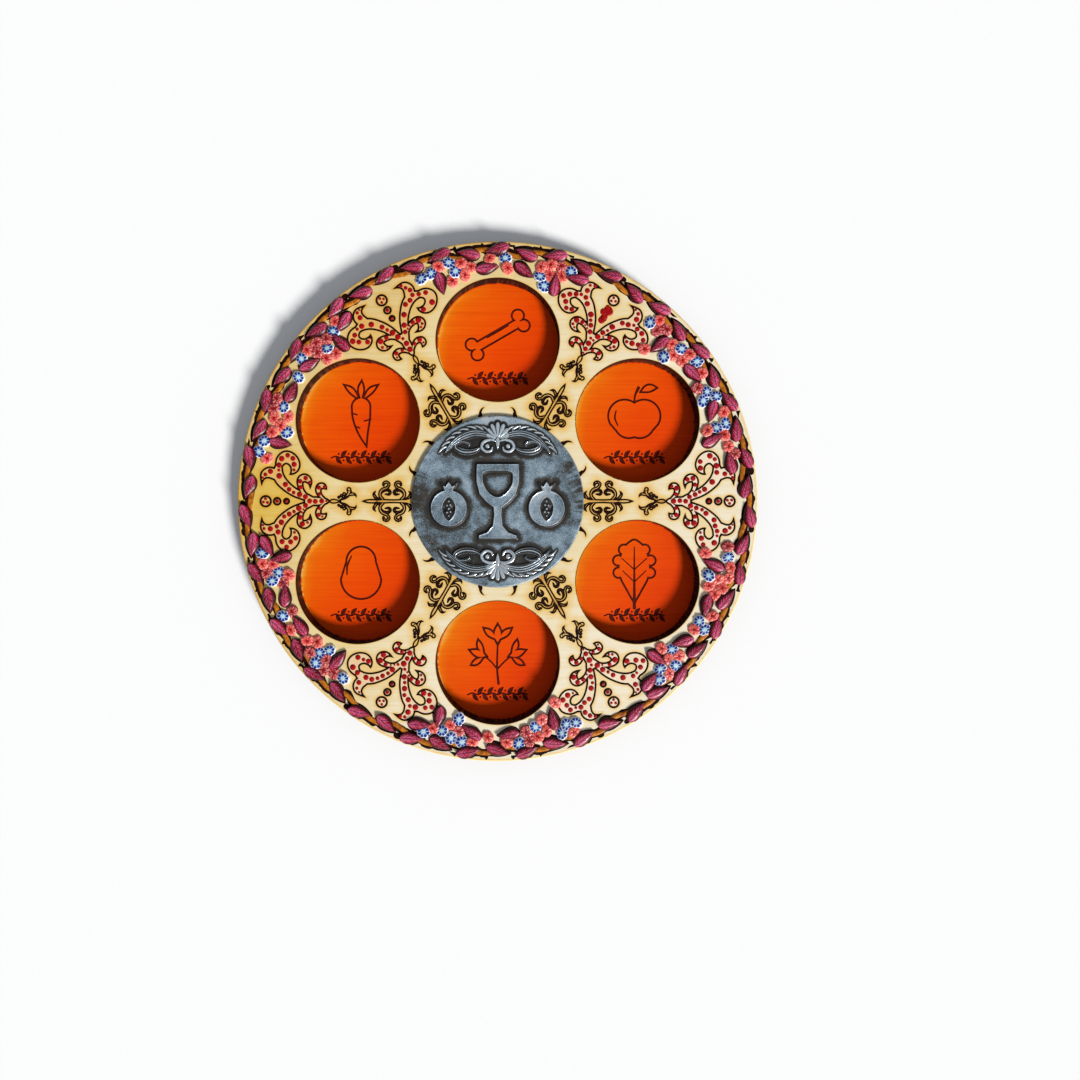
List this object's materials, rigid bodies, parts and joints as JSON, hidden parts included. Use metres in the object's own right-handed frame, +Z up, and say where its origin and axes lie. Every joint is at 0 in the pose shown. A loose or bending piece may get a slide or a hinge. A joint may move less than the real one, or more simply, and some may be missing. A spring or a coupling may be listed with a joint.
{
  "type": "seder plate",
  "caption": "Round plywood ritual plate with round food wells about a raised metal medallion, and a clay garland of leaves and flowers along the rim.",
  "frame": {"origin": "middle of the underside, on the surface that the plate lies on", "axes": "+Z up through the medallion, +Y towards the top of the medallion's picture, +X to its right"},
  "size_m": [0.3, 0.3, 0.0152],
  "materials": {
    "birch_plywood": "satin",
    "stained_plywood": "satin",
    "medallion_metal": "satin",
    "clay_vine": "matte",
    "clay_leaf": "gloss",
    "clay_coral": "gloss",
    "clay_blue": "gloss"
  },
  "bodies": {
    "root": {"base_board": "stained_plywood", "top_board": "birch_plywood", "medallion": "medallion_metal", "vine_upper_right": "clay_vine", "vine_top": "clay_vine", "vine_upper_left": "clay_vine", "vine_lower_left": "clay_vine", "vine_bottom": "clay_vine", "vine_lower_right": "clay_vine", "outer_leaves_upper_right": "clay_leaf", "outer_leaves_top": "clay_leaf", "outer_leaves_upper_left": "clay_leaf", "outer_leaves_lower_left": "clay_leaf", "outer_leaves_bottom": "clay_leaf", "outer_leaves_lower_right": "clay_leaf", "inner_leaves_upper_right": "clay_leaf", "inner_leaves_top": "clay_leaf", "inner_leaves_upper_left": "clay_leaf", "inner_leaves_lower_left": "clay_leaf", "inner_leaves_bottom": "clay_leaf", "inner_leaves_lower_right": "clay_leaf", "coral_flowers_upper_right": "clay_coral", "coral_flowers_top": "clay_coral", "coral_flowers_upper_left": "clay_coral", "coral_flowers_lower_left": "clay_coral", "coral_flowers_bottom": "clay_coral", "coral_flowers_lower_right": "clay_coral", "blue_flowers_upper_right": "clay_blue", "blue_flowers_top": "clay_blue", "blue_flowers_upper_left": "clay_blue", "blue_flowers_lower_left": "clay_blue", "blue_flowers_bottom": "clay_blue", "blue_flowers_lower_right": "clay_blue"}
  },
  "joints": []
}
